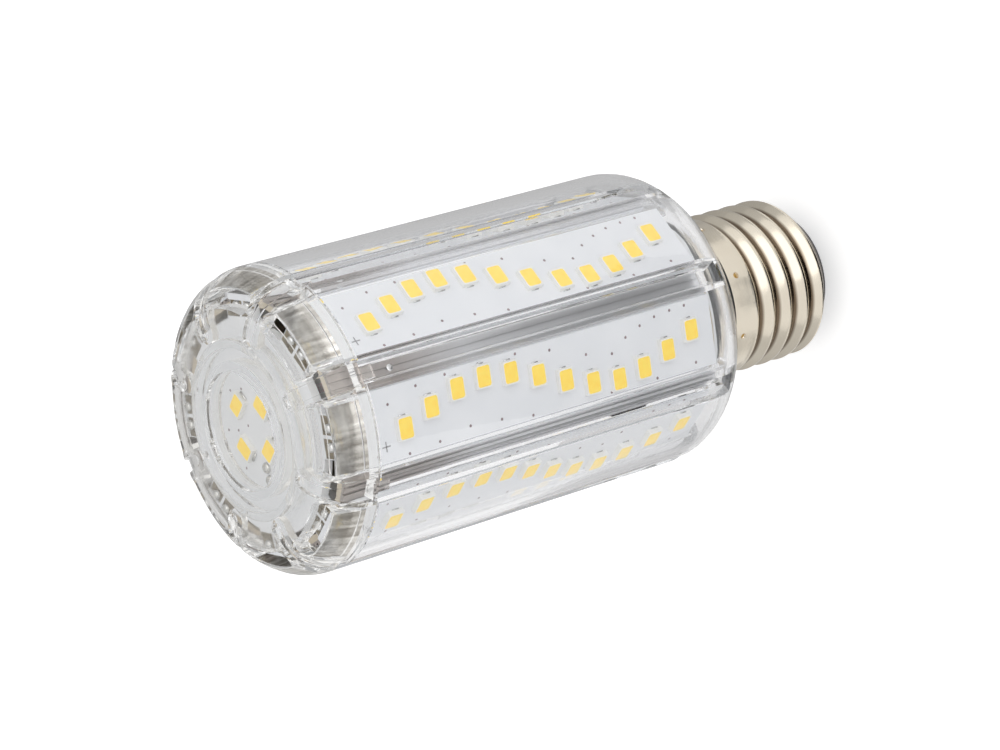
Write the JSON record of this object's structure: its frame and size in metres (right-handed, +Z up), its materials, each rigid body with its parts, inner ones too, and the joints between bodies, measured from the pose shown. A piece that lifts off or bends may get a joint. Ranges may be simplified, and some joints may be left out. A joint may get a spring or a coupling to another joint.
{
  "type": "corn led bulb",
  "caption": "Clear lobed corn lamp with rows of LEDs on strip boards around an eight-sided metal core, a vented front cap and a medium screw base.",
  "frame": {"origin": "centre of the flat tip of the centre contact", "axes": "+Z up the lamp axis from the screw base to the front cap, +X the outward normal of the first LED panel"},
  "size_m": [0.0474, 0.0474, 0.1111],
  "materials": {
    "clear_plastic": "clear moulded",
    "core_metal": "extruded",
    "board_white": "white solder mask",
    "led_body": "moulded",
    "phosphor": "silicone",
    "solder": "reflowed",
    "nickel": "satin nickel plate",
    "insulator": "moulded",
    "contact_metal": "plated",
    "neck_plastic": "moulded",
    "ring_white": "moulded",
    "driver_green": "green solder mask",
    "can_dark": "sleeved can",
    "coil_tape": "taped winding",
    "chip_black": "moulded",
    "lead_sleeve": "insulated"
  },
  "bodies": {
    "root": {"base_insulator": "insulator", "centre_contact": "contact_metal", "clear_housing": "clear_plastic", "contact_lead": "lead_sleeve", "driver_board": "driver_green", "driver_capacitor": "can_dark", "driver_rectifier": "chip_black", "driver_transformer": "coil_tape", "feed_leads": "lead_sleeve", "front_board": "board_white", "front_cap": "clear_plastic", "front_led_packages": "led_body", "front_led_phosphor": "phosphor", "heat_sink": "core_metal", "led_packages_1": "led_body", "led_packages_2": "led_body", "led_packages_3": "led_body", "led_packages_4": "led_body", "led_packages_5": "led_body", "led_packages_6": "led_body", "led_packages_7": "led_body", "led_packages_8": "led_body", "led_phosphor_1": "phosphor", "led_phosphor_2": "phosphor", "led_phosphor_3": "phosphor", "led_phosphor_4": "phosphor", "led_phosphor_5": "phosphor", "led_phosphor_6": "phosphor", "led_phosphor_7": "phosphor", "led_phosphor_8": "phosphor", "neck_collar": "neck_plastic", "retaining_ring": "ring_white", "screw_shell": "nickel", "shell_lead": "lead_sleeve", "solder_joints": "solder", "strip_board_1": "board_white", "strip_board_2": "board_white", "strip_board_3": "board_white", "strip_board_4": "board_white", "strip_board_5": "board_white", "strip_board_6": "board_white", "strip_board_7": "board_white", "strip_board_8": "board_white"}
  },
  "joints": []
}
